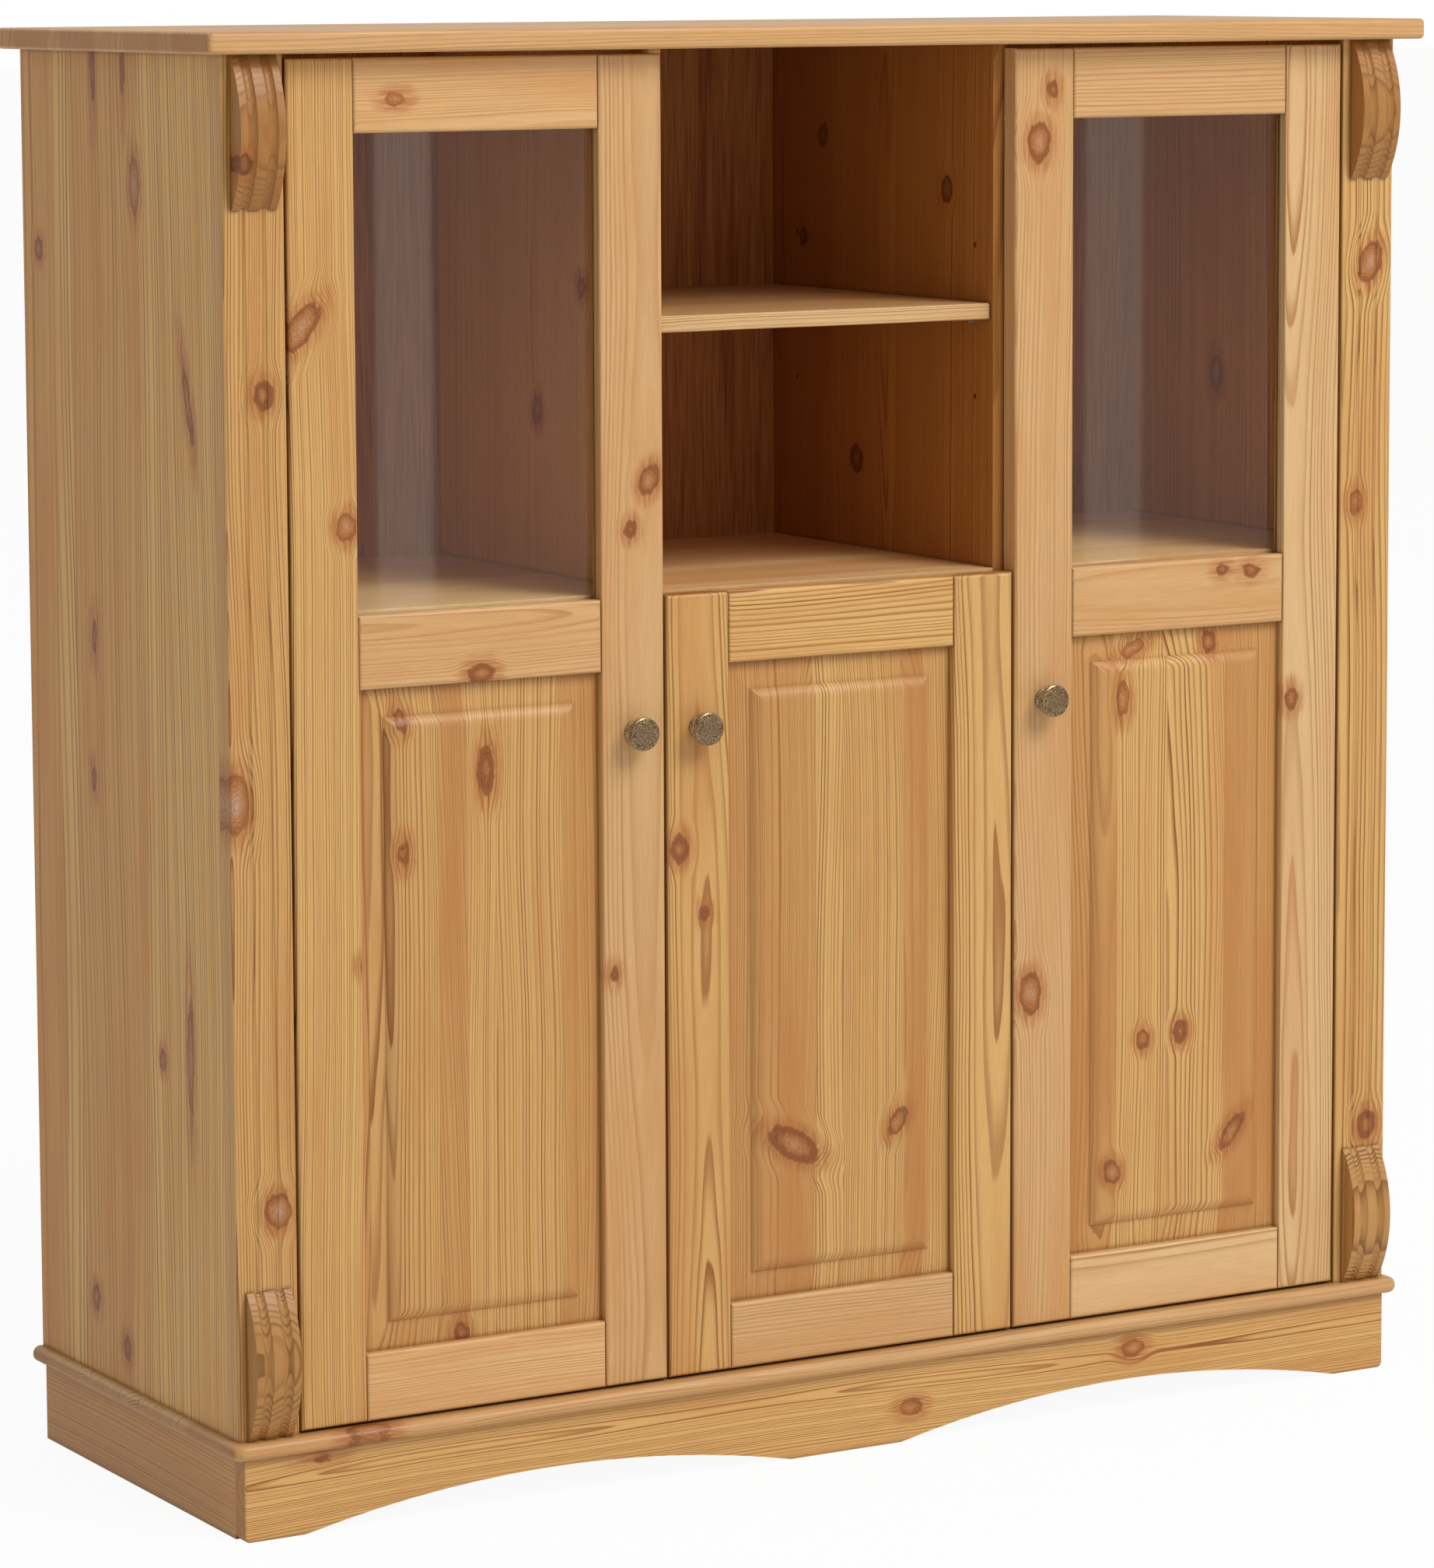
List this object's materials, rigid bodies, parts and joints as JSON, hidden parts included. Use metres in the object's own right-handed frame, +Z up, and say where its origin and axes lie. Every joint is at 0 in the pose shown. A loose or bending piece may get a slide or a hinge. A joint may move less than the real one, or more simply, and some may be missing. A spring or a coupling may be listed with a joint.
{
  "type": "highboard",
  "caption": "Country-style pine highboard with glazed outer doors over raised panels, a low middle door, an open niche with a shelf, fluted pilasters and an arched plinth.",
  "frame": {"origin": "floor level, in the middle of the overall width and of the overall depth", "axes": "+X to the right seen from the front, +Y from the doors to the back panel, +Z up"},
  "size_m": [1.2, 0.417, 1.232],
  "materials": {
    "lacquered_pine": "knotty pine, honey coloured, satin lacquer",
    "stained_pine": "pine, darker stain, satin lacquer",
    "printed_back_board": "thin board with printed oak grain, matt",
    "clear_glass": "clear float glass",
    "antique_brass": "antique brass, brushed and darkened in the hollows",
    "nickel_steel": "nickel plated, satin",
    "soft_buffer": "soft translucent buffer, matt"
  },
  "bodies": {
    "carcass": {"top_panel": "lacquered_pine", "left_side_panel": "lacquered_pine", "right_side_panel": "lacquered_pine", "left_partition": "lacquered_pine", "right_partition": "lacquered_pine", "bottom_panel": "lacquered_pine", "front_plinth": "lacquered_pine", "left_plinth": "lacquered_pine", "right_plinth": "lacquered_pine", "rear_plinth": "lacquered_pine", "back_panel": "printed_back_board", "left_pilaster": "lacquered_pine", "right_pilaster": "lacquered_pine", "upper_left_corbel": "stained_pine", "upper_right_corbel": "stained_pine", "lower_left_corbel": "stained_pine", "lower_right_corbel": "stained_pine", "left_fixed_shelf": "lacquered_pine", "middle_fixed_shelf": "lacquered_pine", "right_fixed_shelf": "lacquered_pine", "niche_shelf": "lacquered_pine", "shelf_pins": "nickel_steel", "hinge_arms": "nickel_steel", "door_buffers": "soft_buffer"},
    "left_door": {"left_door_hinge_stile": "lacquered_pine", "left_door_knob_stile": "lacquered_pine", "left_door_top_rail": "lacquered_pine", "left_door_middle_rail": "lacquered_pine", "left_door_bottom_rail": "lacquered_pine", "left_door_glass": "clear_glass", "left_door_panel": "lacquered_pine", "left_door_glass_beads": "lacquered_pine", "left_door_knob": "antique_brass", "left_door_hinge_cups": "nickel_steel"},
    "middle_door": {"middle_door_hinge_stile": "lacquered_pine", "middle_door_knob_stile": "lacquered_pine", "middle_door_top_rail": "lacquered_pine", "middle_door_bottom_rail": "lacquered_pine", "middle_door_panel": "lacquered_pine", "middle_door_knob": "antique_brass", "middle_door_hinge_cups": "nickel_steel"},
    "right_door": {"right_door_hinge_stile": "lacquered_pine", "right_door_knob_stile": "lacquered_pine", "right_door_top_rail": "lacquered_pine", "right_door_middle_rail": "lacquered_pine", "right_door_bottom_rail": "lacquered_pine", "right_door_glass": "clear_glass", "right_door_panel": "lacquered_pine", "right_door_glass_beads": "lacquered_pine", "right_door_knob": "antique_brass", "right_door_hinge_cups": "nickel_steel"}
  },
  "joints": [
    {"name": "left_door_hinge", "type": "hinge", "parent": "carcass", "child": "left_door", "pos_m": [-0.5125, -0.1795, 0.647], "axis": [0, 0, -1], "range_deg": [0, 95]},
    {"name": "middle_door_hinge", "type": "hinge", "parent": "carcass", "child": "middle_door", "pos_m": [0.16333, -0.1795, 0.4215], "axis": [0, 0, 1], "range_deg": [0, 95]},
    {"name": "right_door_hinge", "type": "hinge", "parent": "carcass", "child": "right_door", "pos_m": [0.5125, -0.1795, 0.647], "axis": [0, 0, 1], "range_deg": [0, 95]}
  ]
}
